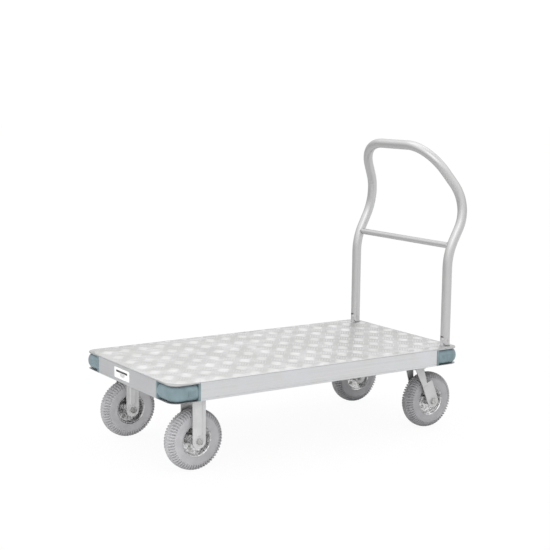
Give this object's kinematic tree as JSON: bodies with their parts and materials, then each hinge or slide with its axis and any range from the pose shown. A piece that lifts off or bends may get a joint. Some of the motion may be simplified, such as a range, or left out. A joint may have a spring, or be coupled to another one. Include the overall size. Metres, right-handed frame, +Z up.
{
  "type": "folding platform cart",
  "caption": "Aluminium tread-plate platform cart with a fold-down bent-tube push handle, fixed front casters, trailing swivel rear casters and padded corners.",
  "frame": {"origin": "on the floor under the centre of the whole cart's box", "axes": "+X towards the handle end, +Y across the deck, +Z up"},
  "size_m": [1.2177, 0.62, 1.0232],
  "materials": {
    "tread_plate": "bright rolled tread plate",
    "rail": "satin anodised extrusion",
    "casting": "fine cast",
    "bumper": "moulded, slightly matt",
    "label": "blank printed plate",
    "beam": "mill finish",
    "hinge": "machined",
    "handle": "satin tube",
    "fork": "light grey powder coat",
    "fastener": "zinc plated",
    "tyre": "non-marking grey rubber",
    "rim": "silver paint",
    "bearing": "ground steel"
  },
  "bodies": {
    "platform": {"deck_plate": "tread_plate", "side_rail_left": "rail", "side_rail_right": "rail", "front_rail": "rail", "rear_rail": "rail", "corner_casting_front_left": "casting", "corner_casting_front_right": "casting", "corner_casting_rear_left": "casting", "corner_casting_rear_right": "casting", "corner_bumper_front_left": "bumper", "corner_bumper_front_right": "bumper", "corner_bumper_rear_left": "bumper", "corner_bumper_rear_right": "bumper", "label_plate": "label", "caster_beam_front": "beam", "caster_beam_rear": "beam", "centre_beam": "beam", "hinge_stub_left": "hinge", "hinge_stub_right": "hinge", "fixed_fork_left": "fork", "fixed_fork_right": "fork", "front_axle_bolts": "fastener", "front_axle_nuts": "fastener", "caster_bolts": "fastener", "swivel_plate_left": "fork", "swivel_plate_right": "fork", "kingpins": "fastener", "swivel_balls": "bearing"},
    "handle": {"handle_tube": "handle", "handle_crossbar": "handle", "post_clevis_left": "hinge", "post_clevis_right": "hinge", "hinge_pins": "fastener"},
    "swivel_left": {"swivel_fork_left": "fork", "rear_axle_bolt_left": "fastener", "rear_axle_nut_left": "fastener"},
    "swivel_right": {"swivel_fork_right": "fork", "rear_axle_bolt_right": "fastener", "rear_axle_nut_right": "fastener"},
    "wheel_front_left": {"tyre_front_left": "tyre", "rim_outer_front_left": "rim", "rim_inner_front_left": "rim", "bearings_front_left": "bearing", "rim_bolts_front_left": "fastener"},
    "wheel_front_right": {"tyre_front_right": "tyre", "rim_outer_front_right": "rim", "rim_inner_front_right": "rim", "bearings_front_right": "bearing", "rim_bolts_front_right": "fastener"},
    "wheel_rear_left": {"tyre_rear_left": "tyre", "rim_outer_rear_left": "rim", "rim_inner_rear_left": "rim", "bearings_rear_left": "bearing", "rim_bolts_rear_left": "fastener"},
    "wheel_rear_right": {"tyre_rear_right": "tyre", "rim_outer_rear_right": "rim", "rim_inner_rear_right": "rim", "bearings_rear_right": "bearing", "rim_bolts_rear_right": "fastener"}
  },
  "joints": [
    {"name": "handle_fold", "type": "hinge", "parent": "platform", "child": "handle", "pos_m": [0.52775, 0, 0.321], "axis": [0, -1, 0], "range_deg": [0, 86.8]},
    {"name": "caster_swivel_left", "type": "hinge", "parent": "platform", "child": "swivel_left", "pos_m": [0.43815, 0.215, 0.225], "axis": [0, 0, 1], "continuous": true},
    {"name": "caster_swivel_right", "type": "hinge", "parent": "platform", "child": "swivel_right", "pos_m": [0.43815, -0.215, 0.225], "axis": [0, 0, 1], "continuous": true},
    {"name": "wheel_spin_front_left", "type": "hinge", "parent": "platform", "child": "wheel_front_left", "pos_m": [-0.48585, 0.228, 0.1], "axis": [0, 1, 0], "continuous": true},
    {"name": "wheel_spin_front_right", "type": "hinge", "parent": "platform", "child": "wheel_front_right", "pos_m": [-0.48585, -0.228, 0.1], "axis": [0, 1, 0], "continuous": true},
    {"name": "wheel_spin_rear_left", "type": "hinge", "parent": "swivel_left", "child": "wheel_rear_left", "pos_m": [0.48935, 0.215, 0.1], "axis": [0, 1, 0], "continuous": true},
    {"name": "wheel_spin_rear_right", "type": "hinge", "parent": "swivel_right", "child": "wheel_rear_right", "pos_m": [0.48935, -0.215, 0.1], "axis": [0, 1, 0], "continuous": true}
  ]
}
